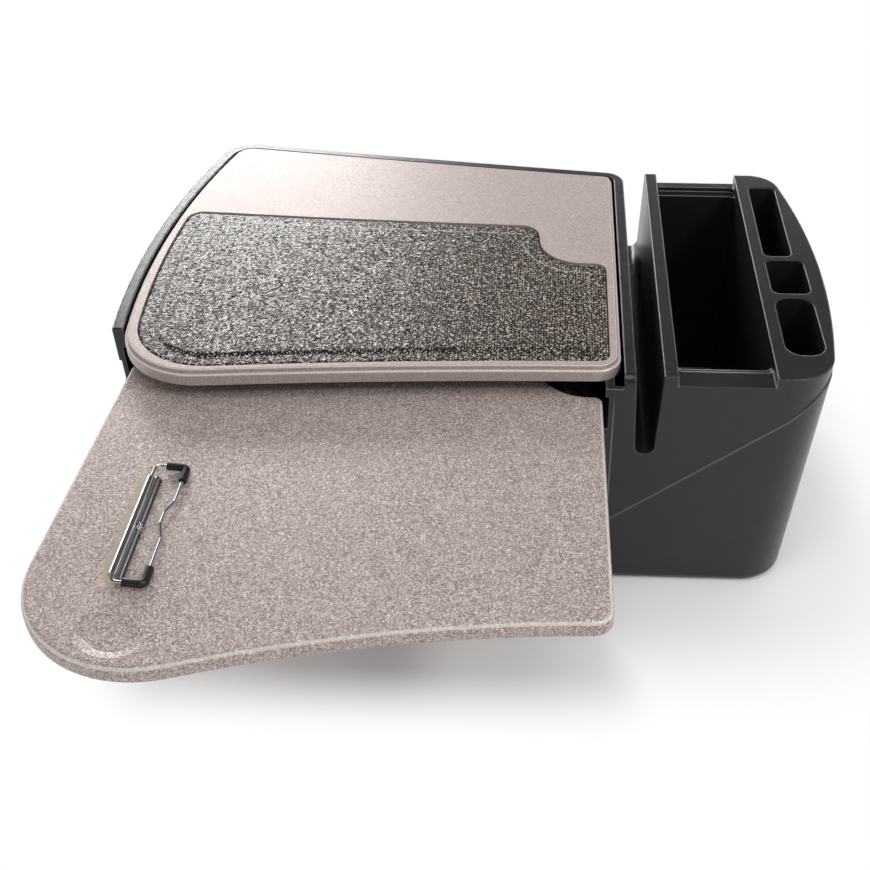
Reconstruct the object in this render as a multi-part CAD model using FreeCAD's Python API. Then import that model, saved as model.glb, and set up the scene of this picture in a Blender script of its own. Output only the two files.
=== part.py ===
import FreeCAD, Part
import math
import os

# A car desk for the passenger seat: a moulded base with a slide-out writing tray under a fixed
# laptop platform, a channel for the seat belt, a bay for hanging files and a three-pocket
# organizer. Millimetres. The origin lies on the flat underside, +X to the user's right,
# +Y away from the user and +Z up. The tray is drawn pulled out, which is its rest position.

V = FreeCAD.Vector
os.makedirs("parts", exist_ok=True)

# Clearances and small sizes that several pieces share
body_gap = 0.35
pilot_gap = 0.06
cut_overrun = 60.0

# Laptop platform, whose outline also leads the housing around it
board_width = 453.5
board_depth = 428.0
board_left = -324.0
board_front = -212.0
board_top = 253.0
board_lip_height = 11.0
board_cap_height = 3.5
board_cap_inset = 3.2
board_skin = 4.0
board_border = 17.0
board_lip_round = 2.4
board_cap_round = 1.3
board_rib_width = 3.0
board_rib_count = 5
# Where the sides would meet, and points that they bulge through, as shares of the platform's width
# from the left and depth from the front: front left, front right, back right, back left
board_corner_shares = [(0.0426, -0.0112), (1.000, 0.0483), (1.000, 0.8735), (0.0841, 1.0055)]
board_bulge_shares = [(0.549, 0.031), None, (0.527, 0.938), (0.0062, 0.561)]
board_rounds = [76.0, 22.0, 8.0, 20.0]
board_split_shares = [0.24, 0.44]
board_steps = ["front", "front_right", "right", "back_right", "back", "back_left", "left",
               "corner_a", "corner_b", "corner_c"]
least_round = 1.5

# Non-skid pad set into the platform
pad_recess = 3.0
pad_gap = 0.4
pad_edge_thickness = 2.2
pad_crown = 1.6
pad_slope = 3.0
pad_border = 15.0
# From front left, anticlockwise round the notch at the back right
pad_corner_shares = [(0.064, 0.010), (0.9775, 0.0724), (0.9775, 0.4448), (0.8412, 0.4512), (0.829, 0.6125),
                     (0.0375, 0.6540)]
pad_bulge_shares = [(0.560, 0.055), None, None, None, (0.440, 0.628), (0.0262, 0.420)]
pad_rounds = [72.0, 10.0, 12.0, 42.0, 20.0, 15.0]

# Housing round the platform and the tray
wall = 4.5
board_gap = 2.2
rim_width = 10.2
rim_drop = 3.0
rim_band = 35.5
rim_overhang = 2.0
rim_front = -143.5
rim_edge_round = 1.2
rim_front_round = 9.0
ledge_width = 12.0
ledge_thickness = 9.0
foot_taper_share = 0.72
housing_bottom_round = 16.0

# Tray bay
bay_right = 119.5
bay_floor_thickness = 5.0
slide_height = 15.0

# Seat belt channel
channel_left = 142.0
channel_top_width = 23.5
channel_bottom_width = 17.0
channel_bottom = 163.8

# File box and organizer body
box_left = 108.0
box_right = 326.8
box_front = -204.2
box_back = 169.2
box_top = board_top
box_front_draft = 8.0
box_side_draft = 17.0
box_back_draft = 7.0
box_corner_front = 42.0
box_corner_back = 32.0
box_bulge = 9.0
box_bulge_place_share = 0.42
box_bottom_round = 8.0
box_edge_round = 1.2

# File bay and the steps that the folders hang on
bay_ridge_width = 12.5
file_bay_width = 84.0
file_bay_front = -180.0
file_bay_length = 337.0
file_bay_corner = 6.0
file_bay_floor = 8.0
file_rail_drop = 10.0
file_rail_top = box_top - file_rail_drop
file_rail_step = 10.0
file_rail_seat_depth = 5.0
file_rail_seat = file_rail_top - file_rail_seat_depth

# Organizer pockets, from front to back
divider_width = 12.5
pocket_depth = 122.0
pocket_front = -166.0
pocket_lengths = [92.0, 60.0, 140.0]
pocket_widths = [35.0, 36.0, 27.0]
pocket_web = 7.0
pocket_corners = [15.0, 8.0, 7.0]
pocket_draft = 2.0

# Crease across the file box, below which the moulding stands proud
crease_depth = 1.2
crease_left_height = 67.0
crease_slope_share = 0.82

# Underside cover and its bosses
pan_thickness = 3.0
pan_gap = 0.5
pan_boss_radius = 5.5
pan_boss_places = [(-140.0, -120.0), (-150.0, 110.0), (30.0, -140.0), (30.0, 110.0),
                   (153.5, -150.0), (153.5, 120.0), (276.0, -110.0), (275.5, 30.0)]

# Screws and their bosses
screw_radius = 1.9
screw_head_radius = 3.6
screw_head_height = 2.2
screw_length = 12.0
platform_screw_length = 16.0
floor_boss_radius = 5.0
floor_boss_height = 9.0
platform_screw_shares = [("left", 0.12), ("left", 0.80), ("back", 0.12), ("back", 0.50), ("back", 0.88)]

# Writing tray, drawn pulled out
tray_top = 223.0
tray_thickness = 14.0
tray_skin = 4.0
tray_skirt = 4.0
tray_left = -319.0
tray_right = 117.8
tray_front = -511.5
tray_back = -150.0
tray_edge_round = 5.0
tray_side_round = 2.0
tray_rib_width = 3.0
tray_rib_count = 4
tray_travel = 255.0
slide_pad_width = 30.0
# From front left, anticlockwise round the cut-out at the back right
tray_corner_shares = [(-0.0100, -0.1226), (1.000, 0.1514), (0.9911, 0.8860), (0.9183, 0.8860), (0.8377, 1.000),
                      (0.0183, 1.000)]
tray_bulge_shares = [(0.5981, 0.1037), None, None, None, None, None]
tray_rounds = [98.0, 15.0, 7.0, 42.0, 48.0, 16.0]

# Finger dish near the tray's front left corner
dish_x = -239.0
dish_y = -479.0
dish_length = 55.0
dish_width = 40.0
dish_depth = 1.8
dish_slope = 7.0
dish_turn_deg = -24.0

# Tray slides, three nested steel members a side
slide_centres = {"left": -280.0, "right": 83.0}
slide_length = 280.0
slide_front = -178.0
slide_width = 40.0
slide_steel = 1.5
slide_outer_height = 11.5
slide_outer_lip = 4.0
slide_middle_lip = 3.5
slide_hat_width = 19.0
slide_side_gap = 0.4
slide_screw_shares = [0.10, 0.50, 0.90]

# Paper clip on the tray
clip_x = -245.0
clip_back = -319.0
clip_front = -430.0
clip_axis_height = 3.65
clip_rod_radius = 1.3
clip_rod_stub = 0.8
clip_fit = 0.05
clip_plate_thickness = 1.2
clip_plate_right = 3.6
clip_lip_height = 1.2
clip_ear_thickness = 1.5
clip_ear_radius = 2.9
clip_barrel_radius = 2.2
clip_roll_radius = 3.2
clip_roll_back = 4.5
clip_roll_up = 2.55
clip_bridge_thickness = 2.4
clip_wire_radius = 1.3
clip_wire_bend = 4.0
clip_wire_past_back = 14.0
clip_wire_past_front = 4.0
clip_wire_hidden = 8.0
clip_jaw_reach = 20.5
clip_wave_reach = 15.6
clip_wave_shares = [0.32, 0.405, 0.50, 0.63]
clip_sleeve_radius = 3.25
clip_sleeve_leg = 16.0
clip_lift_deg = 22.0
spring_wire_radius = 0.35
spring_turns = 6
spring_gap = 0.45
spring_coil_radius = 2.0
spring_leg = 5.5
clip_recess_depth = 1.9
clip_recess_width = 13.5
clip_recess_corner = 6.0
clip_recess_past_back = 19.0
clip_recess_past_front = 4.5
rivet_radius = 1.6
rivet_head_radius = 2.3
rivet_head_height = 0.9
rivet_place_shares = [0.12, 0.42, 0.88]

# Heights that follow from the sizes above
board_right = board_left + board_width
board_base = board_top - board_cap_height - board_lip_height
rim_top = board_top - rim_drop
ledge_base = board_base - ledge_thickness
tray_base = tray_top - tray_thickness
bay_floor = tray_base - slide_height
rim_reach = board_gap + rim_width
housing_reach = rim_reach - rim_overhang
half_diagonal_share = math.sqrt(0.5)


# Outlines are lists of steps (start, middle or None, end), anticlockwise, each point an (x, y) pair

def outline_from(corner_shares, bulge_shares, rounds, left, front, width, depth):
    # the sides run from corner to corner, and rounds holds each corner's radius
    corners = [(left + u * width, front + v * depth) for u, v in corner_shares]
    bulges = [None if b is None else (left + b[0] * width, front + b[1] * depth) for b in bulge_shares]
    sides = [(corners[i], bulges[i], corners[(i + 1) % len(corners)]) for i in range(len(corners))]
    return sides, rounds


def circle_centre(a, b, c):
    d = 2 * (a[0] * (b[1] - c[1]) + b[0] * (c[1] - a[1]) + c[0] * (a[1] - b[1]))
    sa = a[0] ** 2 + a[1] ** 2
    sb = b[0] ** 2 + b[1] ** 2
    sc = c[0] ** 2 + c[1] ** 2
    x = (sa * (b[1] - c[1]) + sb * (c[1] - a[1]) + sc * (a[1] - b[1])) / d
    y = (sa * (c[0] - b[0]) + sb * (a[0] - c[0]) + sc * (b[0] - a[0])) / d
    return (x, y)


def normals(step):
    # outward unit normals at the start, middle and end of one step
    a, m, b = step
    if m is None:
        length = math.dist(a, b)
        n = ((b[1] - a[1]) / length, -(b[0] - a[0]) / length)
        return n, n, n
    c = circle_centre(a, m, b)
    turn = (m[0] - a[0]) * (b[1] - m[1]) - (m[1] - a[1]) * (b[0] - m[0])
    sign = 1 if turn > 0 else -1
    r = math.dist(a, c)
    return tuple((sign * (p[0] - c[0]) / r, sign * (p[1] - c[1]) / r) for p in (a, m, b))


def outside_by(step, p):
    # how far p lies outside the step's line or circle, and the outward direction there
    a, m, b = step
    if m is None:
        n = normals(step)[0]
        return (p[0] - a[0]) * n[0] + (p[1] - a[1]) * n[1], n
    c = circle_centre(a, m, b)
    away = ((p[0] - c[0]) / math.dist(p, c), (p[1] - c[1]) / math.dist(p, c))
    n = normals(step)[0]
    sign = 1 if n[0] * (a[0] - c[0]) + n[1] * (a[1] - c[1]) > 0 else -1
    return sign * (math.dist(p, c) - math.dist(a, c)), (sign * away[0], sign * away[1])


def corner_arc(before, after, r):
    # the arc tangent to both sides where they meet, r being negative at a hollow corner
    p = after[0]
    n0 = normals(before)[2]
    n1 = normals(after)[0]
    k = 1 + n0[0] * n1[0] + n0[1] * n1[1]
    c = (p[0] - r * (n0[0] + n1[0]) / k, p[1] - r * (n0[1] + n1[1]) / k)
    for i in range(12):
        d0, n0 = outside_by(before, c)
        d1, n1 = outside_by(after, c)
        cross = n0[0] * n1[1] - n0[1] * n1[0]
        c = (c[0] + ((d1 + r) * n0[1] - (d0 + r) * n1[1]) / cross,
             c[1] + ((d0 + r) * n1[0] - (d1 + r) * n0[0]) / cross)
    h = math.hypot(n0[0] + n1[0], n0[1] + n1[1])
    return ((c[0] + r * n0[0], c[1] + r * n0[1]),
            (c[0] + r * (n0[0] + n1[0]) / h, c[1] + r * (n0[1] + n1[1]) / h),
            (c[0] + r * n1[0], c[1] + r * n1[1]))


def rounded(sides, rounds):
    # each side followed by the arc of the corner at its end, rounds starting at the first side's start
    count = len(sides)
    corners = []
    for i in range(count):
        before = sides[i - 1]
        after = sides[i]
        corners.append(corner_arc(before, after, rounds[i]) if rounds[i] else (after[0], None, after[0]))
    steps = []
    for i, (a, m, b) in enumerate(sides):
        start = corners[i][2]
        end = corners[(i + 1) % count][0]
        middle = None
        if m is not None:
            c = circle_centre(a, m, b)
            middle = ((start[0] + end[0]) / 2 - c[0], (start[1] + end[1]) / 2 - c[1])
            k = math.dist(a, c) / math.hypot(*middle)
            middle = (c[0] + middle[0] * k, c[1] + middle[1] * k)
        steps.append((start, middle, end))
        if rounds[(i + 1) % count]:
            steps.append(corners[(i + 1) % count])
    return steps


def grown(outline, distance):
    # the sides move out by the distance, and the corners' radii change with them
    sides, rounds = outline
    count = len(sides)
    ends = [normals(side) for side in sides]
    joints = []
    radii = []
    for i in range(count):
        n0 = ends[i - 1][2]
        n1 = ends[i][0]
        k = 1 + n0[0] * n1[0] + n0[1] * n1[1]
        p = sides[i][0]
        joints.append((p[0] + distance * (n0[0] + n1[0]) / k, p[1] + distance * (n0[1] + n1[1]) / k))
        hollow = n0[0] * n1[1] < n0[1] * n1[0]
        radii.append(-max(rounds[i] - distance, least_round) if hollow else max(rounds[i] + distance, least_round))
    moved = []
    for i, (a, m, b) in enumerate(sides):
        n = ends[i][1]
        middle = None if m is None else (m[0] + distance * n[0], m[1] + distance * n[1])
        moved.append((joints[i], middle, joints[(i + 1) % count]))
    return rounded(moved, radii)


def board_at(distance):
    # the platform's outline grown by a distance, with its front left corner in three steps
    steps = grown(board_outline, distance)
    corner = steps.pop()
    cuts = [0] + board_split_shares + [1]
    for low, high in zip(cuts, cuts[1:]):
        steps.append((place_on(corner, low), place_on(corner, (low + high) / 2), place_on(corner, high)))
    return steps


def mapped(outline, change):
    return [(change(a), None if m is None else change(m), change(b)) for a, m, b in outline]


def wire_at(outline, z):
    edges = []
    for a, m, b in outline:
        if m is None:
            edges.append(Part.makeLine(V(*a, z), V(*b, z)))
        else:
            edges.append(Part.Arc(V(*a, z), V(*m, z), V(*b, z)).toShape())
    return Part.Wire(edges)


def prism(outline, z0, z1):
    return Part.Face(wire_at(outline, z0)).extrude(V(0, 0, z1 - z0))


def loft(low, z0, high, z1):
    return Part.makeLoft([wire_at(low, z0), wire_at(high, z1)], True, True)


def export(name, shape):
    shape.exportStep("parts/" + name + ".step")
    print(name, len(shape.Solids), round(shape.Volume), shape.isValid())


def block(x0, x1, y0, y1, z0, z1):
    return Part.makeBox(x1 - x0, y1 - y0, z1 - z0, V(x0, y0, z0))


def drum(x, y, z0, z1, r):
    return Part.makeCylinder(r, z1 - z0, V(x, y, z0))


def place_on(step, share):
    # a point of a step at a share of its way from start to end
    a, m, b = step
    if m is None:
        return (a[0] + (b[0] - a[0]) * share, a[1] + (b[1] - a[1]) * share)
    c = circle_centre(a, m, b)
    start = math.atan2(a[1] - c[1], a[0] - c[0])
    swing = math.atan2(b[1] - c[1], b[0] - c[0]) - start
    swing = (swing + math.pi) % (2 * math.pi) - math.pi
    r = math.dist(a, c)
    return (c[0] + r * math.cos(start + swing * share), c[1] + r * math.sin(start + swing * share))


def rounded_rectangle(x0, x1, y0, y1, r):
    # an anticlockwise outline with four equal corners
    k = r * (1 - half_diagonal_share)
    return [((x0 + r, y0), None, (x1 - r, y0)), ((x1 - r, y0), (x1 - k, y0 + k), (x1, y0 + r)),
            ((x1, y0 + r), None, (x1, y1 - r)), ((x1, y1 - r), (x1 - k, y1 - k), (x1 - r, y1)),
            ((x1 - r, y1), None, (x0 + r, y1)), ((x0 + r, y1), (x0 + k, y1 - k), (x0, y1 - r)),
            ((x0, y1 - r), None, (x0, y0 + r)), ((x0, y0 + r), (x0 + k, y0 + k), (x0 + r, y0))]


def lines_through(points):
    return [(a, None, b) for a, b in zip(points, points[1:])]


board_outline = outline_from(board_corner_shares, board_bulge_shares, board_rounds, board_left, board_front,
                             board_width, board_depth)
pad_outline = outline_from(pad_corner_shares, pad_bulge_shares, pad_rounds, board_left, board_front,
                           board_width, board_depth)
tray_outline = outline_from(tray_corner_shares, tray_bulge_shares, tray_rounds, tray_left, tray_front,
                            tray_right - tray_left, tray_back - tray_front)


def box_front_at(z):
    return box_front + box_front_draft * (1 - z / box_top)


def round_the_back(grow, first, last, front_x, front_y):
    # the board's steps from first to last, grown, closed by a front line and a right-hand line
    steps = board_at(grow)[board_steps.index(first):board_steps.index(last) + 1]
    corner = (front_x, front_y)
    return steps + [(steps[-1][2], None, corner), (corner, None, steps[0][0])]


def housing_outline(inset):
    steps = board_at(housing_reach - inset)
    right = steps[board_steps.index("back")][0][0]
    return round_the_back(housing_reach - inset, "back", "corner_a", right, box_front_at(bay_floor) + inset)


def foot_outline(inset):
    # the underside of the housing, drawn in from the left and a little from front and back
    knee = housing_outline(inset)
    right = knee[0][0][0]
    depth_share = box_front_at(0) / box_front_at(bay_floor)
    return mapped(knee, lambda p: (right + (p[0] - right) * foot_taper_share, p[1] * depth_share))


def box_outline(z, inset, left_inset):
    low = 1 - z / box_top
    x0 = box_left + left_inset
    x1 = box_right - box_side_draft * low - inset
    y0 = box_front_at(z) + inset
    y1 = box_back - box_back_draft * low - inset
    front_x = x1 - box_bulge
    back_x = x1 - 2 * box_bulge
    front_y = y0 + box_corner_front - inset
    back_y = y1 - box_corner_back + inset
    bulge_y = front_y + (back_y - front_y) * box_bulge_place_share
    c = circle_centre((front_x, front_y), (x1, bulge_y), (back_x, back_y))
    r = c[0] - x1
    front_x = c[0] + math.sqrt(r * r - (y0 - c[1]) ** 2)
    back_x = c[0] + math.sqrt(r * r - (y1 - c[1]) ** 2)
    sides = [((x0, y0), None, (front_x, y0)), ((front_x, y0), (c[0] - r, c[1]), (back_x, y1)),
             ((back_x, y1), None, (x0, y1)), ((x0, y1), None, (x0, y0))]
    return rounded(sides, [0, box_corner_front - inset, box_corner_back - inset, 0])


def box_body(inset, z1):
    return loft(box_outline(0, inset, inset), 0, box_outline(z1, inset, inset), z1)


def low_edges(shape, left):
    return [e for e in shape.Edges if e.BoundBox.ZMax < body_gap and e.BoundBox.XMax > left]


def base_outside():
    lower = loft(foot_outline(0), 0, housing_outline(0), bay_floor)
    right = foot_outline(0)[0][0][0]
    lower = lower.makeFillet(housing_bottom_round,
                             [e for e in lower.Edges if e.BoundBox.ZMax < body_gap and e.BoundBox.XMin < right - wall])
    upper = prism(housing_outline(0), bay_floor, rim_top)
    rim_right = board_right + rim_reach
    band = prism(round_the_back(rim_reach, "back_right", "left", rim_right, rim_front),
                 rim_top - rim_band, rim_top)
    box = box_body(crease_depth, box_top)
    box = box.makeFillet(box_bottom_round, low_edges(box, box_left + 2 * crease_depth))
    proud = box_body(0, box_top)
    proud = proud.makeFillet(box_bottom_round, low_edges(proud, box_left + 2 * crease_depth))
    reach = box_right + cut_overrun
    rise = crease_slope_share * (reach - box_left)
    slab = Part.makePolygon([V(box_left, box_front - cut_overrun, crease_left_height),
                             V(box_left, box_front - cut_overrun, -cut_overrun),
                             V(reach, box_front - cut_overrun, -cut_overrun),
                             V(reach, box_front - cut_overrun, crease_left_height + rise),
                             V(box_left, box_front - cut_overrun, crease_left_height)])
    slab = Part.Face(slab).extrude(V(0, box_back - box_front + 2 * cut_overrun, 0))
    return lower, upper, band, box, proud.common(slab)


def bay_cavity(grow, z0, z1, side_gap):
    # the tray's bay, open to the front, with its left and back walls after the board's outline
    steps = board_at(grow)[board_steps.index("back"):board_steps.index("corner_a") + 1]
    right = steps[0][0][0]
    ahead = board_front - cut_overrun
    left_front = steps[-1][2]
    corners = [left_front, (left_front[0], ahead), (right, ahead), steps[0][0]]
    body = prism(steps + lines_through(corners), z0, z1)
    return body.common(block(board_left - rim_reach - wall, bay_right + side_gap, ahead,
                             board_front + board_depth + cut_overrun, z0, z1))


def channel_cut(side, z_top):
    # the seat belt channel, side being the wall left around it
    centre = channel_left + channel_top_width / 2
    r = channel_bottom_width / 2 + side
    foot = channel_bottom + channel_bottom_width / 2
    # the sides open out so that the channel has its width at the box's top
    half_top = r + (channel_top_width - channel_bottom_width) / 2 * (z_top - foot) / (box_top - foot)
    y = board_front - cut_overrun
    a = V(centre - half_top, y, z_top)
    b = V(centre - r, y, foot)
    c = V(centre + r, y, foot)
    d = V(centre + half_top, y, z_top)
    edges = [Part.makeLine(a, b), Part.Arc(b, V(centre, y, foot - r), c).toShape(), Part.makeLine(c, d),
             Part.makeLine(d, a)]
    return Part.Face(Part.Wire(edges)).extrude(V(0, board_depth + 2 * cut_overrun, 0))


file_bay_left = channel_left + channel_top_width + bay_ridge_width
file_bay_right = file_bay_left + file_bay_width
file_bay_back = file_bay_front + file_bay_length


def file_bay_cut(side):
    top = box_top + cut_overrun if side == 0 else box_top - wall
    upper = prism(rounded_rectangle(file_bay_left - side, file_bay_right + side, file_bay_front - side,
                                    file_bay_back + side, file_bay_corner + side), file_rail_seat - side, top)
    lower = prism(rounded_rectangle(file_bay_left - side, file_bay_right + side,
                                    file_bay_front + file_rail_step - side,
                                    file_bay_back - file_rail_step + side, file_bay_corner + side),
                  file_bay_floor - side, file_rail_seat)
    return upper.fuse(lower)


def file_rail_cuts(side):
    # the front and back of the bay are lower than the ridges beside it
    x0 = file_bay_left - side
    x1 = file_bay_right + side
    z0 = file_rail_top - side
    z1 = box_top + cut_overrun
    return [block(x0, x1, box_front - cut_overrun, file_bay_front + file_rail_step, z0, z1),
            block(x0, x1, file_bay_back - file_rail_step, box_back + cut_overrun, z0, z1)]


def pocket_cuts(side):
    cuts = []
    y = pocket_front
    left = file_bay_right + divider_width
    top = box_top + cut_overrun if side == 0 else box_top - wall
    floor = box_top - pocket_depth
    for length, width, corner in zip(pocket_lengths, pocket_widths, pocket_corners):
        wires = []
        for z, grow in ((floor - side, side - pocket_draft), (top, side + pocket_draft * (top - box_top) / pocket_depth)):
            ring = rounded_rectangle(left - grow, left + width + grow, y - grow, y + length + grow, corner + grow)
            wires.append(wire_at(ring, z))
        cuts.append(Part.makeLoft(wires, True, True))
        y += length + pocket_web
    return cuts


def between(low, high, share):
    def mix(p, q):
        return (p[0] + (q[0] - p[0]) * share, p[1] + (q[1] - p[1]) * share)
    return [(mix(a, d), None if b is None else mix(b, e), mix(c, f)) for (a, b, c), (d, e, f) in zip(low, high)]


def base_void():
    # the hollow inside the moulding, open underneath
    start = -cut_overrun
    knee = bay_floor - bay_floor_thickness
    low = foot_outline(housing_bottom_round + wall)
    rise = between(foot_outline(wall), housing_outline(wall), housing_bottom_round / bay_floor)
    high = between(foot_outline(wall), housing_outline(wall), knee / bay_floor)
    hollow = [prism(low, start, 0), loft(low, 0, rise, housing_bottom_round),
              loft(rise, housing_bottom_round, high, knee)]
    inset = wall + crease_depth
    low = box_outline(0, box_bottom_round + crease_depth, inset)
    rise = box_outline(box_bottom_round, inset, inset)
    top = box_top - wall
    hollow += [prism(low, start, 0), loft(low, 0, rise, box_bottom_round),
               loft(rise, box_bottom_round, box_outline(top, inset, inset), top)]
    return hollow[0].fuse(hollow[1:])


def pan_outlines(gap):
    return [foot_outline(housing_bottom_round + wall + gap),
            box_outline(0, box_bottom_round + crease_depth + gap, wall + crease_depth + gap)]


def screw(place, z, up, length, countersunk):
    # a screw whose head seats at z, pointing along +Z when up is 1 and along -Z when it is -1
    x, y = place
    shank = Part.makeCylinder(screw_radius, length, V(x, y, z), V(0, 0, up))
    if countersunk:
        top = V(x, y, z - up * slide_steel)
        head = Part.makeCone(screw_head_radius, screw_radius, slide_steel, top, V(0, 0, up))
    else:
        top = V(x, y, z - up * screw_head_height)
        head = Part.makeCylinder(screw_head_radius, screw_head_height, top, V(0, 0, up))
    return head.fuse(shank).removeSplitter()


def pilot(place, z, up, length):
    x, y = place
    return Part.makeCylinder(screw_radius + pilot_gap, length + pilot_gap, V(x, y, z), V(0, 0, up))


def sink(place, z, up):
    # the countersink that a head seated at z lies in
    x, y = place
    top = V(x, y, z - up * slide_steel)
    return Part.makeCone(screw_head_radius + pilot_gap, screw_radius + pilot_gap, slide_steel, top, V(0, 0, up))


def slide_screw_places(front):
    return [(x, front + share * slide_length) for x in slide_centres.values() for share in slide_screw_shares]


def platform_screw_places():
    steps = board_at(-ledge_width / 2)
    return [place_on(steps[board_steps.index(name)], share) for name, share in platform_screw_shares]


def base_bosses(void):
    floor = bay_floor - bay_floor_thickness
    bosses = [drum(x, y, pan_thickness, box_top, pan_boss_radius).common(void) for x, y in pan_boss_places]
    for x, y in slide_screw_places(slide_front):
        bosses.append(drum(x, y, floor - floor_boss_height, floor, floor_boss_radius))
    return bosses


def base_pilots():
    holes = [pilot(place, pan_thickness, 1, screw_length) for place in pan_boss_places]
    holes += [pilot(place, bay_floor, -1, screw_length) for place in slide_screw_places(slide_front)]
    holes += [pilot(place, ledge_base, 1, ledge_thickness) for place in platform_screw_places()]
    return holes


def edges_at(shape, z):
    return [e for e in shape.Edges if e.BoundBox.ZMin > z - pilot_gap and e.BoundBox.ZMax < z + pilot_gap]


def rim_corner_cut():
    # rounds the rim's back right corner off the box's
    z0 = rim_top - rim_band
    x0, y0 = board_at(rim_reach)[board_steps.index("back_right")][2]
    y1 = board_at(rim_reach)[board_steps.index("back_right")][0][1]
    corner = block(x0, channel_left + channel_top_width / 2, y1, y0 + cut_overrun, z0, rim_top)
    return corner.cut(prism(board_at(rim_reach), z0, rim_top))


def rim_front_cut():
    # rounds the front end of the rim between the platform and the channel
    x0 = board_right + board_gap
    x1 = channel_left + channel_top_width / 2
    z = rim_top - rim_front_round
    y = box_front_at(z) + crease_depth + rim_front_round
    corner = block(x0, x1, box_front - cut_overrun, y, z, rim_top)
    return corner.cut(Part.makeCylinder(rim_front_round, x1 - x0, V(x0, y, z), V(1, 0, 0)))


def make_base_shell():
    lower, upper, band, box, proud = base_outside()
    outside = lower.fuse([upper, band, box, proud])
    floor = bay_floor - bay_floor_thickness
    above = box_top + cut_overrun
    behind = board_front + board_depth + cut_overrun
    skins = [bay_cavity(housing_reach, floor, above, wall),
             bay_cavity(-ledge_width, ledge_base - wall, above, channel_left - bay_right),
             channel_cut(wall, above), file_bay_cut(wall)] + file_rail_cuts(wall) + pocket_cuts(wall)
    void = base_void().cut(skins)
    shell = outside.cut(void).fuse(base_bosses(void))
    cuts = [bay_cavity(housing_reach - wall, bay_floor, ledge_base, 0),
            bay_cavity(-ledge_width, bay_floor, above, 0),
            prism(board_at(board_gap), board_base, above),
            block(board_left - cut_overrun, channel_left + channel_top_width / 2, box_front - cut_overrun, behind,
                  rim_top, above),
            # the rim and the left wall end in a flat face to the front
            block(board_left - cut_overrun, slide_centres["left"], board_front - cut_overrun, rim_front,
                  bay_floor, above),
            # the platform's front right corner overhangs the housing's front
            block(box_left, board_right + board_gap, box_front - cut_overrun,
                  board_at(board_gap)[board_steps.index("front_right")][2][1], board_base, above),
            rim_corner_cut(), rim_front_cut(),
            channel_cut(0, above), file_bay_cut(0)]
    shell = shell.cut(cuts + file_rail_cuts(0) + pocket_cuts(0) + base_pilots())
    shell = shell.makeFillet(rim_edge_round, edges_at(shell, rim_top))
    shell = shell.makeFillet(box_edge_round, edges_at(shell, box_top))
    rails = [e for e in edges_at(shell, file_rail_top) if e.BoundBox.XLength > file_bay_width / 2
             and not file_bay_front - wall < e.CenterOfMass.y < file_bay_back + wall]
    return shell.makeFillet(rim_edge_round, rails)


def make_base_bottom_pan():
    plates = [prism(outline, 0, pan_thickness) for outline in pan_outlines(pan_gap)]
    pan = plates[0].fuse(plates[1]).removeSplitter()
    cuts = []
    for place in pan_boss_places:
        cuts.append(sink(place, slide_steel, 1))
        cuts.append(pilot(place, 0, 1, pan_thickness))
    return pan.cut(cuts)


def inside_board(grow, z0, z1):
    # the platform's outline drawn in, with its right-hand side straight
    steps = board_at(grow)
    ring = steps[board_steps.index("back"):] + steps[:board_steps.index("front_right")]
    right = ring[0][0][0]
    front = ring[-1][2]
    body = prism(ring + lines_through([front, (right, front[1]), ring[0][0]]), z0, z1)
    return body.common(block(board_left, board_right + grow, board_front - cut_overrun,
                             board_front + board_depth + cut_overrun, z0, z1))


def make_laptop_platform():
    # a lip round the edge and a raised cap, with a groove line between them
    groove = board_base + board_lip_height
    lip = prism(board_at(0), board_base, groove)
    lip = lip.makeFillet(board_lip_round, edges_at(lip, groove))
    cap = prism(board_at(-board_cap_inset), groove, board_top)
    cap = cap.makeFillet(board_cap_round, edges_at(cap, board_top))
    ceiling = board_top - pad_recess - board_skin
    hollow = inside_board(-board_border, board_base, ceiling)
    ribs = []
    for i in range(board_rib_count):
        x = board_left + board_width * (i + 1) / (board_rib_count + 1)
        ribs.append(block(x - board_rib_width / 2, x + board_rib_width / 2, board_front,
                          board_front + board_depth, board_base, ceiling))
    cuts = [hollow.cut(ribs), prism(grown(pad_outline, pad_gap), board_top - pad_recess, board_top + cut_overrun)]
    grip = platform_screw_length - ledge_thickness
    cuts += [pilot(place, board_base, 1, grip) for place in platform_screw_places()]
    return lip.fuse(cap).cut(cuts)


def make_grip_pad():
    z = board_top - pad_recess
    edge = z + pad_edge_thickness
    plate = prism(grown(pad_outline, 0), z, edge)
    middle = loft(grown(pad_outline, -pad_border), edge, grown(pad_outline, -pad_border - pad_slope),
                  edge + pad_crown)
    return plate.fuse(middle)


def ellipse_prism(shrink, z0, z1):
    a = dish_length / 2 - shrink
    b = dish_width / 2 - shrink
    edge = Part.Ellipse(V(0, 0, 0), a, b).toShape()
    body = Part.Face(Part.Wire([edge])).extrude(V(0, 0, z1 - z0))
    body.rotate(V(0, 0, 0), V(0, 0, 1), dish_turn_deg)
    body.translate(V(dish_x, dish_y, z0))
    return body


def dish_cut():
    # an oval dish with sloping sides
    body = ellipse_prism(0, tray_top - dish_depth, tray_top + cut_overrun)
    slope = Part.makeLoft([ellipse_ring(dish_slope, tray_top - dish_depth),
                           ellipse_ring(-dish_slope, tray_top + dish_depth)], True, True)
    return body.common(slope)


def ellipse_ring(shrink, z):
    edge = Part.Ellipse(V(0, 0, 0), dish_length / 2 - shrink, dish_width / 2 - shrink).toShape()
    ring = Part.Wire([edge])
    ring.rotate(V(0, 0, 0), V(0, 0, 1), dish_turn_deg)
    ring.translate(V(dish_x, dish_y, z))
    return ring


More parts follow.
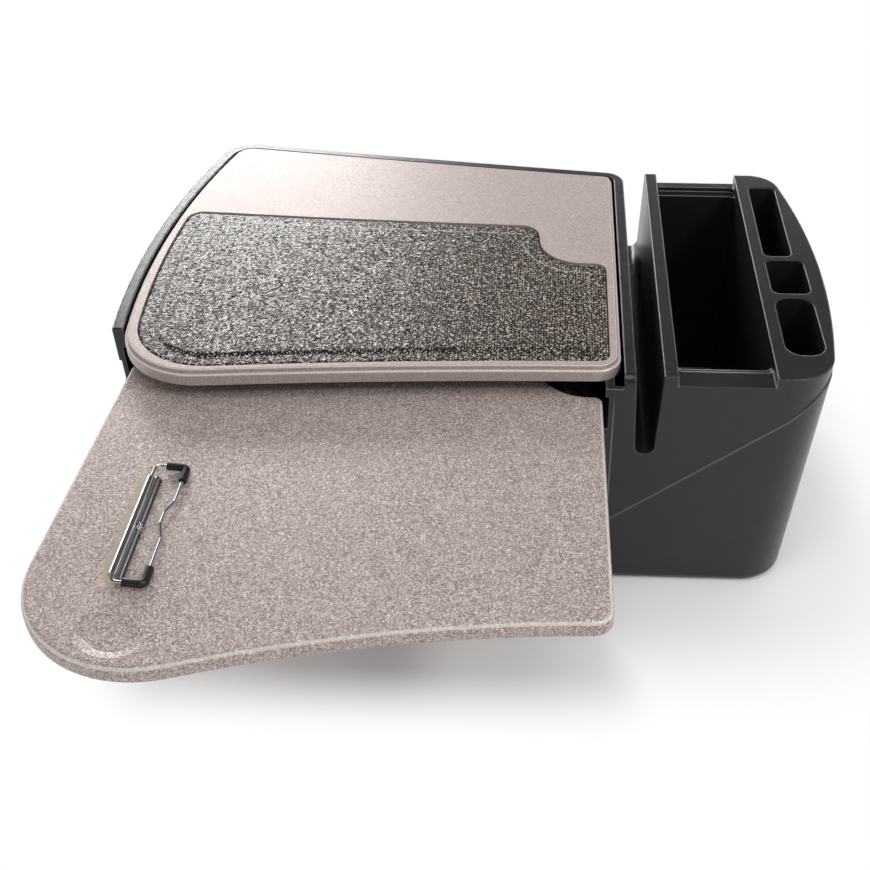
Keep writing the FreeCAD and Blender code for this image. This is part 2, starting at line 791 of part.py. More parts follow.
def tray_ribs(z0, z1):
    left = slide_centres["left"] + slide_width / 2
    right = slide_centres["right"] - slide_width / 2
    ribs = []
    for i in range(tray_rib_count):
        x = left + (right - left) * (i + 1) / (tray_rib_count + 1)
        ribs.append(block(x - tray_rib_width / 2, x + tray_rib_width / 2, tray_front, tray_back, z0, z1))
    return ribs


def clip_recess():
    # a trough beside the clip that slopes down towards the roll
    x1 = clip_x - clip_ear_radius
    x0 = x1 - clip_recess_width
    y0 = clip_front - clip_recess_past_front
    y1 = clip_back + clip_recess_past_back
    z0 = tray_top - clip_recess_depth
    z1 = tray_top + cut_overrun
    slope = Part.Face(Part.makePolygon([V(x0, y0, tray_top), V(x1, y0, z0), V(x1, y0, z1), V(x0, y0, z1),
                                        V(x0, y0, tray_top)]))
    return prism(rounded_rectangle(x0, x1, y0, y1, clip_recess_corner), z0, z1).common(slope.extrude(V(0, y1 - y0, 0)))


def rivet_places():
    # under the hinge, so that their heads lie flush in the base plate
    return [(clip_x, clip_front + (clip_back - clip_front) * share) for share in rivet_place_shares]


def make_writing_tray():
    tray = prism(grown(tray_outline, 0), tray_base, tray_top)
    tray = tray.makeFillet(tray_edge_round, edges_at(tray, tray_top))
    tray = tray.makeFillet(tray_side_round, edges_at(tray, tray_base))
    ceiling = tray_top - tray_skin
    back = slide_front - tray_travel
    keep = tray_ribs(tray_base, ceiling)
    for x in slide_centres.values():
        keep.append(block(x - slide_pad_width / 2, x + slide_pad_width / 2, back, back + slide_length, tray_base,
                          ceiling))
    keep.append(ellipse_prism(-tray_skirt, ceiling - dish_depth, ceiling))
    hollow = prism(grown(tray_outline, -tray_skirt), tray_base, ceiling).cut(keep)
    cuts = [hollow, dish_cut(), clip_recess()]
    hold = screw_length - slide_steel
    cuts += [pilot(place, tray_base, 1, hold) for place in slide_screw_places(back)]
    hole = rivet_radius + pilot_gap
    cuts += [drum(x, y, tray_base, tray_top + cut_overrun, hole) for x, y in rivet_places()]
    return tray.cut(cuts)


def drawn_profile(points, centre, front):
    # a sheet steel profile of (x, z) points, x from the slide's centre, one slide long
    ring = [V(centre + x, front, z) for x, z in points + points[:1]]
    return Part.Face(Part.makePolygon(ring)).extrude(V(0, slide_length, 0))


def lipped_channel(half, z0, height, lip):
    s = slide_steel
    top = z0 + height
    right = [(half, z0), (half, top), (half - lip, top), (half - lip, top - s), (half - s, top - s), (half - s, z0 + s)]
    return right + [(-x, z) for x, z in reversed(right)]


def slide_outer(centre):
    body = drawn_profile(lipped_channel(slide_width / 2, bay_floor, slide_outer_height, slide_outer_lip), centre,
                         slide_front)
    holes = [sink(place, bay_floor, -1) for place in slide_screw_places(slide_front)]
    return body.cut(holes)


middle_half = slide_width / 2 - slide_steel - slide_side_gap
middle_base = bay_floor + slide_steel + body_gap
hat_half = middle_half - slide_steel - slide_side_gap
hat_base = middle_base + slide_steel + body_gap


def slide_middle(centre):
    height = slide_outer_height - 2 * slide_steel - 2 * body_gap
    return drawn_profile(lipped_channel(middle_half, middle_base, height, slide_middle_lip), centre,
                         slide_front - tray_travel / 2)


def slide_inner(centre):
    s = slide_steel
    h = slide_hat_width / 2
    right = [(h - s, tray_base - s), (h - s, hat_base), (hat_half, hat_base), (hat_half, hat_base + s),
             (h, hat_base + s), (h, tray_base)]
    left = [(-x, z) for x, z in reversed(right)]
    front = slide_front - tray_travel
    body = drawn_profile(right + left, centre, front)
    return body.cut([pilot(place, tray_base - s, 1, s) for place in slide_screw_places(front)])


def side_drum(x, z, r, y0, y1):
    # a cylinder along Y, its axis at x and z from the clip's axis
    return Part.makeCylinder(r, y1 - y0, V(clip_x + x, y0, clip_axis_z + z), V(0, 1, 0))


def side_block(x0, x1, z0, z1, y0, y1):
    return block(clip_x + x0, clip_x + x1, y0, y1, z0, z1)


clip_axis_z = tray_top + clip_axis_height
lever_front = clip_front + clip_ear_thickness + body_gap
lever_back = clip_back - clip_ear_thickness - body_gap
spring_pitch = 2 * spring_wire_radius + spring_gap
spring_half_length = spring_turns * spring_pitch / 2


def make_clip_base_plate():
    top = tray_top + clip_plate_thickness
    body = [side_block(-clip_ear_radius, clip_plate_right, tray_top, top, clip_front, clip_back)]
    body.append(side_block(clip_plate_right - clip_plate_thickness, clip_plate_right, top, top + clip_lip_height,
                           clip_front, clip_back))
    for y0 in (clip_front, clip_back - clip_ear_thickness):
        y1 = y0 + clip_ear_thickness
        body.append(side_block(-clip_ear_radius, clip_ear_radius, top, clip_axis_z, y0, y1))
        body.append(side_drum(0, 0, clip_ear_radius, y0, y1))
    holes = [side_drum(0, 0, clip_rod_radius + clip_fit, clip_front - clip_rod_stub, clip_back + clip_rod_stub)]
    holes += [rivet_head(place, pilot_gap) for place in rivet_places()]
    return body[0].fuse(body[1:]).removeSplitter().cut(holes)


def rivet_head(place, grow):
    x, y = place
    return Part.makeCone(rivet_radius + grow, rivet_head_radius + grow, clip_plate_thickness, V(x, y, tray_top))


def make_clip_rivets():
    # countersunk above and set over below the tray's skin
    under = tray_top - tray_skin
    rivets = []
    for x, y in rivet_places():
        shank = drum(x, y, under - rivet_head_height, tray_top, rivet_radius)
        tail = drum(x, y, under - rivet_head_height, under, rivet_head_radius)
        rivets.append(shank.fuse([tail, rivet_head((x, y), 0)]).removeSplitter())
    return Part.makeCompound(rivets)


def make_clip_hinge_rod():
    return side_drum(0, 0, clip_rod_radius, clip_front - clip_rod_stub, clip_back + clip_rod_stub)


def make_clip_lever():
    # a barrel on the rod, a rolled bar beside it and a web between the two
    length = lever_back - lever_front
    roll = side_drum(-clip_roll_back, clip_roll_up, clip_roll_radius, lever_front, lever_back)
    barrel = side_drum(0, 0, clip_barrel_radius, lever_front, lever_back)
    reach = math.hypot(clip_roll_back, clip_roll_up)
    web = block(-reach, 0, 0, length, -clip_bridge_thickness / 2, clip_bridge_thickness / 2)
    web.rotate(V(0, 0, 0), V(0, 1, 0), math.degrees(math.atan2(clip_roll_up, clip_roll_back)))
    web.translate(V(clip_x, lever_front, clip_axis_z))
    middle = (lever_front + lever_back) / 2
    room = spring_half_length + spring_pitch
    spring_room = side_drum(0, 0, spring_coil_radius + spring_wire_radius + body_gap, middle - room, middle + room)
    lever = roll.fuse([barrel, web]).removeSplitter()
    bore = side_drum(0, 0, clip_rod_radius + clip_fit, lever_front, lever_back)
    r = clip_wire_radius + clip_fit
    sockets = [side_drum(-clip_roll_back, clip_roll_up, r, y, y + clip_wire_hidden)
               for y in (lever_front, lever_back - clip_wire_hidden)]
    return lever.cut([bore, spring_room] + sockets)


def bent_path(points, radius):
    # straight runs joined by tangent arcs
    edges = []
    here = points[0]
    for before, corner, after in zip(points, points[1:], points[2:]):
        u = (before - corner).normalize()
        v = (after - corner).normalize()
        turn = math.pi - math.acos(max(-1, min(1, u.dot(v))))
        cut = radius * math.tan(turn / 2)
        a = corner + u * cut
        b = corner + v * cut
        inward = (u + v).normalize()
        middle = corner + inward * (radius / math.cos(turn / 2) - radius)
        edges.append(Part.makeLine(here, a))
        edges.append(Part.Arc(a, middle, b).toShape())
        here = b
    edges.append(Part.makeLine(here, points[-1]))
    return Part.Wire(edges)


def tube(path, r):
    start = path.Edges[0]
    ring = Part.Wire([Part.makeCircle(r, start.valueAt(start.FirstParameter), start.tangentAt(start.FirstParameter))])
    return path.makePipeShell([ring], True, False)


def bail_points():
    # the jaw wire, from inside the back end of the roll round to inside its front end
    back = clip_back + clip_wire_past_back
    front = clip_front - clip_wire_past_front
    span = [back + (front - back) * share for share in clip_wave_shares]
    reach = clip_jaw_reach
    wave = clip_wave_reach
    places = [(-clip_roll_back, lever_back - clip_wire_hidden, clip_roll_up), (-clip_roll_back, back, clip_roll_up),
              (reach, back, 0), (reach, span[0], 0), (wave, span[1], 0), (wave, span[2], 0), (reach, span[3], 0),
              (reach, front, 0), (-clip_roll_back, front, clip_roll_up),
              (-clip_roll_back, lever_front + clip_wire_hidden, clip_roll_up)]
    return [V(clip_x + x, y, clip_axis_z + z) for x, y, z in places]


def make_wire_bail():
    return tube(bent_path(bail_points(), clip_wire_bend), clip_wire_radius)


def bail_sleeve(i):
    # a rubber sleeve over one corner of the jaw wire
    points = bail_points()
    before = points[i] + (points[i - 1] - points[i]).normalize() * clip_sleeve_leg
    after = points[i] + (points[i + 1] - points[i]).normalize() * clip_sleeve_leg
    path = bent_path([before, points[i], after], clip_wire_bend)
    return tube(path, clip_sleeve_radius).cut(tube(path, clip_wire_radius + clip_fit))


def biarc(p0, t0, p1, t1):
    # two arcs that meet smoothly and hold the directions at both ends
    v = p1 - p0
    t = t0 + t1
    a = 2 * (1 - t0.dot(t1))
    b = 2 * v.dot(t)
    c = -v.dot(v)
    d = (-b + math.sqrt(b * b - 4 * a * c)) / (2 * a)
    q0 = p0 + t0 * d
    q1 = p1 - t1 * d
    m = (q0 + q1) * (1 / 2)
    return [arc_to(p0, q0, m), arc_to(m, q1, p1)]


def arc_to(a, q, b):
    chord = (a + b) * (1 / 2)
    turn = math.pi - math.acos((a - q).normalize().dot((b - q).normalize()))
    sagitta = (b - a).Length / 2 * math.tan(turn / 4)
    return Part.Arc(a, chord + (q - chord).normalize() * sagitta, b).toShape()


def coil_place(turn):
    # a point of the coil and its direction after so many turns, winding towards -Y
    angle = -math.pi / 2 - 2 * math.pi * turn
    r = spring_coil_radius
    y = (lever_front + lever_back) / 2 + spring_half_length - turn * spring_pitch
    place = V(clip_x + r * math.cos(angle), y, clip_axis_z + r * math.sin(angle))
    along = V(r * math.sin(angle) * 2 * math.pi, -spring_pitch, -r * math.cos(angle) * 2 * math.pi)
    return place, along.normalize()


def make_clip_spring():
    # a torsion spring round the hinge rod, one leg on the plate and the other under the roll
    quarter_turns = 4 * spring_turns
    stops = [coil_place(i / 4) for i in range(quarter_turns + 1)]
    plate_leg = clip_plate_right - clip_plate_thickness - body_gap
    edges = [Part.makeLine(stops[0][0] - stops[0][1] * plate_leg, stops[0][0])]
    for (p0, t0), (p1, t1) in zip(stops, stops[1:]):
        edges += biarc(p0, t0, p1, t1)
    edges.append(Part.makeLine(stops[-1][0], stops[-1][0] + stops[-1][1] * spring_leg))
    path = Part.Wire(edges)
    points = [coil_place(i / 40)[0] for i in range(40 * spring_turns + 1)]
    least = min((p - q).Length for i, p in enumerate(points) for q in points[i + 20:])
    print("clip_spring least gap", round(least - 2 * spring_wire_radius, 3))
    return tube(path, spring_wire_radius)


export("base_shell", make_base_shell())
export("base_bottom_pan", make_base_bottom_pan())
pan_screws = [screw(place, slide_steel, 1, screw_length, True) for place in pan_boss_places]
export("bottom_pan_screws", Part.makeCompound(pan_screws))
export("laptop_platform", make_laptop_platform())
platform_screws = [screw(place, ledge_base, 1, platform_screw_length, False) for place in platform_screw_places()]
export("platform_screws", Part.makeCompound(platform_screws))
export("grip_pad", make_grip_pad())
for side, centre in slide_centres.items():
    export(side + "_slide_outer", slide_outer(centre))
    export(side + "_slide_middle", slide_middle(centre))
    export(side + "_slide_inner", slide_inner(centre))
floor_screws = [screw(place, bay_floor, -1, screw_length, True) for place in slide_screw_places(slide_front)]
export("slide_floor_screws", Part.makeCompound(floor_screws))
export("writing_tray", make_writing_tray())
tray_screws = [screw(place, tray_base - slide_steel, 1, screw_length, False)
               for place in slide_screw_places(slide_front - tray_travel)]
export("tray_slide_screws", Part.makeCompound(tray_screws))
export("clip_base_plate", make_clip_base_plate())
export("clip_rivets", make_clip_rivets())
export("clip_hinge_rod", make_clip_hinge_rod())
export("clip_lever", make_clip_lever())
export("wire_bail", make_wire_bail())
export("bail_sleeve_back", bail_sleeve(2))
export("bail_sleeve_front", bail_sleeve(7))
export("clip_spring", make_clip_spring())
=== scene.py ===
"""A car desk with a slide-out writing tray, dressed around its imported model."""

import math

import bmesh
import bpy
import numpy as np
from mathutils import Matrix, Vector
from mathutils.geometry import delaunay_2d_cdt

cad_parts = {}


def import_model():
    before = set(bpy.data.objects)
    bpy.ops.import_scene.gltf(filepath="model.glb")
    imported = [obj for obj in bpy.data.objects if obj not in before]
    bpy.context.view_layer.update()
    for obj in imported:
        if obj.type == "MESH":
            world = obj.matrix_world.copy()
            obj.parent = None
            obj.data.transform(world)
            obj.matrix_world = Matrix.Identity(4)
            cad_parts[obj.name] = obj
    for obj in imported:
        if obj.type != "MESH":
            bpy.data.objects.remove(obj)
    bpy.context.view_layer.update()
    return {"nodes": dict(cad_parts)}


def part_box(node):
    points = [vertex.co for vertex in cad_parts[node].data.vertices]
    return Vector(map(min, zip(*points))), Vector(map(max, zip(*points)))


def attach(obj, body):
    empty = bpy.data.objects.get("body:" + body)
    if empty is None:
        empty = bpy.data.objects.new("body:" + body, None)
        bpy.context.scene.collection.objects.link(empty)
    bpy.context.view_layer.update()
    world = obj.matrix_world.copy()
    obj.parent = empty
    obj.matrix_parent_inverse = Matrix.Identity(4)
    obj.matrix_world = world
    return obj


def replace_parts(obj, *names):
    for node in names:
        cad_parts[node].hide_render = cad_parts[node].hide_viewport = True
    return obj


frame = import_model()
node = frame["nodes"]

MM = 0.001

# The charcoal plastic's edges look rounded by this much
edge_round = 2.0 * MM
# The dot product of the rounded and the flat normal where the painted edge highlight begins and is full
edge_highlight_range = (0.995, 0.86)

# The smooth trough beside the clip, where a tanner patch is painted for the light its slope catches, from the
# plate's left side: how far it reaches to the left, past the plate's front and past its back
trough_width = 13 * MM
trough_past_front = 4 * MM
trough_past_back = 19 * MM
trough_fade = 2.0 * MM

pad_border = 15.0 * MM
pad_slope = 3.0 * MM
pad_crown = 1.6 * MM
pad_thickness = 2.2 * MM
pad_edge_round = 1.5 * MM
pebble_step = 1.6 * MM
pebble_stray = 0.75 * MM
pebble_height = 0.60 * MM
pebble_least_share = 0.4

spring_wire = 0.35 * MM
spring_coil = 2.0 * MM
spring_pitch = 1.15 * MM
spring_turns = 6
# The turn where the free leg's piece begins, and the one where the wire leaves the coil
spring_split_turn = 5.5
spring_last_turn = 6.09375
spring_plate_leg = 1.7 * MM
spring_roll_leg = 2.1 * MM
coil_steps = 32
wire_sides = 12

floor_reach = 6.0
# Where the floor stops keeping the shadow, by the distance from what casts it
shadow_reach = (50 * MM, 190 * MM)
tray_shadow_inset = (45 * MM, 195 * MM)
tray_shadow_reach = (-10 * MM, 80 * MM)

# The sky that gloss sees: pale at the horizon and dark overhead, by the sine of its elevation
sky_turn = (0.10, 0.42)
sky_gloss = (1.0, 0.10)
sky_light = 0.64

# The photograph's camera: its size, focal length and middle of view in pixels, its sensor in
# millimetres, and how many degrees it looks down and to the left
picture_size = 870
focal_length = 1225.17
view_middle = (513.66, 417.16)
sensor_width = 36.0
camera_place = (67.26 * MM, -1044.73 * MM, 878.76 * MM)
camera_down = 38.63
camera_left = 2.10


# Materials

class Wire:
    """A socket of a material's nodes, which takes part in sums."""

    def __init__(self, paint, socket):
        self.paint, self.socket = paint, socket

    def math(self, operation, *others):
        """The socket of a Math node that takes this one first."""
        return self.paint.add("ShaderNodeMath", {"operation": operation}, dict(enumerate((self, *others))))

    def __add__(self, other):
        return self.math("ADD", other)

    def __mul__(self, other):
        return self.math("MULTIPLY", other)

    def __sub__(self, other):
        return self.math("SUBTRACT", other)

    def __rsub__(self, other):
        return self.paint.add("ShaderNodeMath", {"operation": "SUBTRACT"}, {0: other, 1: self})

    def __pow__(self, other):
        return self.math("POWER", other)

    __radd__ = __add__
    __rmul__ = __mul__


class Paint:
    """The nodes of one material or world."""

    def __init__(self, owner):
        owner.use_nodes = True
        self.owner, self.tree = owner, owner.node_tree
        self.tree.nodes.clear()

    def add(self, kind, settings=None, sockets=None, output=0):
        """A node with its settings and its sockets' values or links, as its output's wire."""
        made = self.tree.nodes.new(kind)
        for key, value in (settings or {}).items():
            setattr(made, key, value)
        for key, value in (sockets or {}).items():
            if isinstance(value, Wire):
                self.tree.links.new(value.socket, made.inputs[key])
            else:
                made.inputs[key].default_value = value
        return Wire(self, made.outputs[output]) if made.outputs else None

    def place(self):
        return self.add("ShaderNodeTexCoord", output="Object")

    def axes(self, vector):
        """The three coordinates of a vector."""
        apart = self.add("ShaderNodeSeparateXYZ", None, {0: vector}).socket.node
        return [Wire(self, output) for output in apart.outputs]

    def noise(self, size, detail=2.0, roughness=0.5):
        """Noise from 0 to 1 whose features are about size metres."""
        return self.add("ShaderNodeTexNoise", {"noise_dimensions": "3D"},
                        {"Vector": self.place(), "Scale": 1 / size, "Detail": detail, "Roughness": roughness})

    def cells(self, size):
        """Cells about size metres wide, each with a shade of its own."""
        return self.add("ShaderNodeTexVoronoi", None, {"Vector": self.place(), "Scale": 1 / size}, "Color")

    def step(self, value, low, high, to_low=0.0, to_high=1.0):
        """A smooth step between two values."""
        return self.add("ShaderNodeMapRange", {"interpolation_type": "SMOOTHSTEP"},
                        {"Value": value, "From Min": low, "From Max": high, "To Min": to_low, "To Max": to_high})

    def mix(self, share, first, second):
        """One colour over another."""
        return self.add("ShaderNodeMix", {"data_type": "RGBA"}, {0: share, 6: first, 7: second}, output=2)

    def bump(self, height, depth, under=None):
        """A normal from a height of 0 to 1 that stands for depth metres."""
        sockets = {"Height": height, "Distance": depth, "Strength": 1.0}
        if under is not None:
            sockets["Normal"] = under
        return self.add("ShaderNodeBump", None, sockets)

    def inside_box(self, low, high, fade):
        """A mask of the space between two corners, seen from above."""
        mask = 1.0
        for along, start, end in zip(self.axes(self.place())[:2], low, high):
            mask = self.step(along, start - fade, start + fade) * self.step(along, end + fade, end - fade) * mask
        return mask

    def edges(self, radius):
        """A normal that rounds the edges, and a mask of where it does."""
        rounded = self.add("ShaderNodeBevel", {"samples": 6}, {"Radius": radius})
        facing = self.add("ShaderNodeNewGeometry", output="True Normal")
        turned = self.add("ShaderNodeVectorMath", {"operation": "DOT_PRODUCT"}, {0: rounded, 1: facing}, "Value")
        return rounded, self.step(turned, *edge_highlight_range)

    def surface(self, **inputs):
        """The finished material, from the shader's inputs by name."""
        shader = self.add("ShaderNodeBsdfPrincipled", None, {k.replace("_", " "): v for k, v in inputs.items()})
        self.add("ShaderNodeOutputMaterial", None, {"Surface": shader})
        return self.owner


def material_paint(name):
    return Paint(bpy.data.materials.new(name))


def rgb(red, green, blue):
    """A colour as it looks, from 0 to 255, as the shader's numbers."""
    parts = [c / 255 for c in (red, green, blue)]
    return tuple(c / 12.92 if c <= 0.04045 else ((c + 0.055) / 1.055) ** 2.4 for c in parts) + (1.0,)


def taupe_plastic(name, grain, grain_depth, fleck_and_glint, trough_painted_light=None):
    """Metallic paint over a fine moulded grain, with painted glints on the grain's tops and a painted highlight
    along its edges.

    The fleck sets how strongly the grain's tops and pits differ and how bright the painted glints are, and the
    trough is a smoother, tanner patch painted where the recess beside the clip catches the light.
    """
    paint = material_paint(name)
    grit = paint.cells(grain)
    fine = paint.noise(grain * 0.8, 1.0, 0.5)
    level = grit * 0.6 + fine * 0.9 - 0.25
    cloud = paint.step(paint.noise(70 * MM, 3.0), 0.35, 0.65)
    upward = paint.axes(paint.add("ShaderNodeNewGeometry", output="Normal"))[2]
    painted_edge_highlight = paint.step(upward, 0.94, 0.82) * paint.step(upward, 0.42, 0.62)
    raised = paint.step(level, 0.5 - 0.5 / fleck_and_glint, 0.5 + 0.5 / fleck_and_glint)
    base = paint.mix(raised, rgb(120, 105, 103), rgb(202, 187, 181))
    base = paint.mix(cloud * 0.16, base, rgb(178, 161, 152))
    if trough_painted_light:
        # Painted light: the recess beside the clip is painted smoother and tanner, for the light its slope
        # catches
        base = paint.mix(paint.inside_box(*trough_painted_light) * (0.55 + fine * 0.5), base, rgb(196, 178, 158))
    # Painted glints: the highest tops of the grain are painted near white
    base = paint.mix(paint.step(level, 0.70, 0.95) * fleck_and_glint * 0.5, base, rgb(252, 244, 240))
    # Painted highlight: the fillets between the top and the sides are painted pale
    base = paint.mix(painted_edge_highlight * 0.5, base, rgb(244, 237, 231))
    normal = paint.bump(level, grain_depth)
    return paint.surface(Base_Color=base, Metallic=0.15, Roughness=0.42 - level * 0.08, Normal=normal,
                         Specular_IOR_Level=0.5)


def charcoal_plastic():
    """Satin moulded plastic with scuffs, painted paler along its edges as a highlight that is stronger where
    scuffed.
    """
    paint = material_paint("charcoal_plastic")
    skin = paint.noise(0.8 * MM, 3.0, 0.6)
    cloud = paint.noise(45 * MM, 4.0, 0.55)
    scuff = paint.step(paint.noise(9 * MM, 6.0, 0.7), 0.58, 0.74)
    rounded, rub_and_sheen = paint.edges(edge_round)
    base = paint.mix(cloud, rgb(22, 22, 24), rgb(33, 33, 36))
    base = paint.mix(scuff * 0.22, base, rgb(60, 60, 62))
    # Painted highlight: the edges that the rounded normal finds are painted pale grey, more so where scuffed
    base = paint.mix(rub_and_sheen * (0.5 + scuff * 0.3), base, rgb(158, 158, 160))
    normal = paint.bump(skin, 0.10 * MM, under=paint.bump(cloud, 0.6 * MM, under=rounded))
    return paint.surface(Base_Color=base, Roughness=0.24 + scuff * 0.14 + skin * 0.10, Normal=normal,
                         Specular_IOR_Level=0.45)


def pad_rubber():
    """Glossy dark rubber, with the tops of its pebbles painted paler as highlights."""
    paint = material_paint("pad_rubber")
    top = paint.add("ShaderNodeAttribute", {"attribute_name": "pebble"}, output="Fac")
    fine = paint.noise(0.6 * MM, 2.0)
    patch = paint.noise(20 * MM, 3.0)
    # Painted highlight: the pebbles' tops are painted pale over the near-black rubber
    base = paint.mix(paint.step(top, 0.20, 0.60), rgb(5, 4, 4), rgb(178, 163, 149))
    base = paint.mix(patch * 0.15, base, rgb(50, 46, 43))
    return paint.surface(Base_Color=base, Roughness=0.28 + patch * 0.08, Normal=paint.bump(fine, 0.04 * MM),
                         Specular_IOR_Level=0.4)


def chrome():
    """Polished chrome with a little haze."""
    paint = material_paint("clip_chrome")
    haze = paint.noise(6 * MM, 4.0, 0.6)
    streak = paint.noise(1.2 * MM, 3.0)
    base = paint.mix(haze, rgb(206, 206, 208), rgb(228, 228, 229))
    return paint.surface(Base_Color=base, Metallic=1.0, Roughness=0.06 + haze * 0.10,
                         Normal=paint.bump(streak, 0.01 * MM))


def zinc_steel():
    """Zinc-plated steel with its spangle, rubbed here and there."""
    paint = material_paint("zinc_steel")
    spangle = paint.cells(5 * MM)
    rub_and_sheen = paint.noise(2 * MM, 5.0, 0.65)
    base = paint.mix(paint.step(spangle, 0.1, 0.9), rgb(168, 170, 172), rgb(196, 198, 200))
    return paint.surface(Base_Color=base, Metallic=1.0, Roughness=0.28 + rub_and_sheen * 0.20,
                         Normal=paint.bump(rub_and_sheen, 0.04 * MM))


def sleeve_rubber():
    """Black rubber with some dust on it."""
    paint = material_paint("sleeve_rubber")
    skin = paint.noise(0.4 * MM, 2.0)
    dust = paint.noise(7 * MM, 4.0)
    base = paint.mix(paint.step(dust, 0.45, 0.75) * 0.6, rgb(13, 13, 14), rgb(36, 36, 37))
    return paint.surface(Base_Color=base, Roughness=0.28 + dust * 0.15, Normal=paint.bump(skin, 0.05 * MM))


plate_low, plate_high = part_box("clip_base_plate")
trough_painted_light = (plate_low.xy - Vector((trough_width, trough_past_front)),
          Vector((plate_low.x, plate_high.y + trough_past_back)), trough_fade)
finishes = {
    "charcoal": charcoal_plastic(),
    "board": taupe_plastic("taupe_platform", 0.9 * MM, 0.07 * MM, 0.6),
    "tray": taupe_plastic("taupe_tray", 1.15 * MM, 0.18 * MM, 1.7, trough_painted_light),
    "pad": pad_rubber(),
    "chrome": chrome(),
    "steel": zinc_steel(),
    "sleeve": sleeve_rubber(),
}

node_finishes = {
    "charcoal": ["base_shell", "base_bottom_pan"],
    "board": ["laptop_platform"],
    "tray": ["writing_tray"],
    "pad": ["grip_pad"],
    "chrome": ["clip_base_plate", "clip_rivets", "clip_hinge_rod", "clip_lever", "wire_bail", "clip_spring"],
    "steel": ["bottom_pan_screws", "platform_screws", "slide_floor_screws", "tray_slide_screws"]
    + [f"{side}_slide_{member}" for side in ("left", "right") for member in ("outer", "middle", "inner")],
    "sleeve": ["bail_sleeve_back", "bail_sleeve_front"],
}
for finish, names in node_finishes.items():
    for name in names:
        mesh = node[name].data
        mesh.materials.clear()
        mesh.materials.append(finishes[finish])


# Pieces

def show(name, data):
    """A new object in the scene."""
    made = bpy.data.objects.new(name, data)
    bpy.context.scene.collection.objects.link(made)
    return made


def piece(name, bm, finish, body):
    """A new piece that rides on a body and takes a finish."""
    mesh = bpy.data.meshes.new(name)
    bm.to_mesh(mesh)
    bm.free()
    made = show(name, mesh)
    mesh.materials.append(finishes[finish])
    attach(made, body)
    return made


def floor_ring(name):
    """The corners around a node's flat underside, in order."""
    low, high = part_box(name)
    bm = bmesh.new()
    bm.from_mesh(node[name].data)
    bmesh.ops.remove_doubles(bm, verts=bm.verts, dist=0.002 * MM)
    under = {f for f in bm.faces if f.calc_center_median().z < low.z + 0.01 * MM}
    rim = [e for e in bm.edges if sum(f in under for f in e.link_faces) == 1]
    neighbours = {}
    for e in rim:
        a, b = e.verts
        neighbours.setdefault(a, []).append(b)
        neighbours.setdefault(b, []).append(a)
    start = min(neighbours, key=lambda v: (v.co.x, v.co.y))
    ring, before, here = [start], None, start
    while True:
        after = next(v for v in neighbours[here] if v is not before)
        if after is start:
            break
        ring.append(after)
        before, here = here, after
    points = [Vector((v.co.x, v.co.y)) for v in ring]
    bm.free()
    return points


def smooth(t):
    """A smooth step from 0 to 1."""
    t = np.clip(t, 0.0, 1.0)
    return t * t * (3 - 2 * t)


def grip_pad():
    """The pad, with its raised middle and a pebble on every third point of its mesh."""
    draw = np.random.default_rng(7)
    low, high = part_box("grip_pad")
    corners = np.array([(p.x, p.y) for p in floor_ring("grip_pad")])
    ways = np.roll(corners, -1, axis=0) - corners

    def inset(points):
        """How far each point is from the outline."""
        best = np.full(len(points), np.inf)
        for corner, way in zip(corners, ways):
            along = np.clip((points - corner) @ way / (way @ way), 0.0, 1.0)
            best = np.minimum(best, np.linalg.norm(points - corner - along[:, None] * way, axis=1))
        return best

    def inside(points):
        """Which points are inside the outline."""
        odd = np.zeros(len(points), bool)
        for corner, way in zip(corners, ways):
            crosses = (corner[1] > points[:, 1]) != (corner[1] + way[1] > points[:, 1])
            reach = corner[0] + (points[:, 1] - corner[1]) / (way[1] or 1.0) * way[0]
            odd ^= crosses & (points[:, 0] < reach)
        return odd

    outline = []
    for corner, way in zip(corners, ways):
        steps = max(1, round(float(np.linalg.norm(way)) / (1.5 * pebble_step)))
        outline += [corner + way * (k / steps) for k in range(steps)]
    row_height = pebble_step * math.sqrt(0.75)
    row, column = np.mgrid[0:int((high.y - low.y) / row_height) + 2, 0:int((high.x - low.x) / pebble_step) + 2]
    row, column = row.ravel(), column.ravel()
    grid = np.stack([low.x + (column + row % 2 / 2) * pebble_step, low.y + row * row_height], axis=1)
    grid += draw.uniform(-pebble_stray, pebble_stray, grid.shape)
    lift = np.where((column + row % 2 * 2) % 3 == 0, draw.uniform(pebble_least_share, 1.0, len(grid)), 0.0)
    kept = inside(grid) & (inset(grid) > 0.6 * pebble_step)
    points = np.concatenate([outline, grid[kept]])
    lifts = np.concatenate([np.zeros(len(outline)), lift[kept]])
    verts, _, faces, origin, _, _ = delaunay_2d_cdt(
        [Vector(p) for p in points], [], [list(range(len(outline)))], 1, 1e-7)
    flat = np.array([(v.x, v.y) for v in verts])
    pebble = np.array([max((lifts[i] for i in source), default=0.0) for source in origin])
    d = inset(flat)
    z = low.z + pad_thickness + pad_crown * smooth((d - pad_border) / pad_slope)
    z += pebble_height * (pebble - 0.5) * smooth(d / pebble_step)
    z -= pad_edge_round * (1 - smooth(d / (1.5 * pad_edge_round)))
    bm = bmesh.new()
    mark = bm.verts.layers.float.new("pebble")
    top = [bm.verts.new((*place, height)) for place, height in zip(flat, z)]
    for v, level in zip(top, pebble):
        v[mark] = level
    for face in faces:
        bm.faces.new([top[i] for i in face])
    bm.normal_update()
    for f in bm.faces:
        if f.normal.z < 0:
            f.normal_flip()
        f.smooth = True
    lower = bmesh.ops.extrude_edge_only(bm, edges=[e for e in bm.edges if e.is_boundary])["geom"]
    for v in (g for g in lower if isinstance(g, bmesh.types.BMVert)):
        v.co.z = low.z
    bmesh.ops.contextual_create(bm, geom=[e for e in bm.edges if e.is_boundary])
    bmesh.ops.recalc_face_normals(bm, faces=bm.faces)
    made = piece("pebbled_grip_pad", bm, "pad", "base")
    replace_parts(made, "grip_pad")


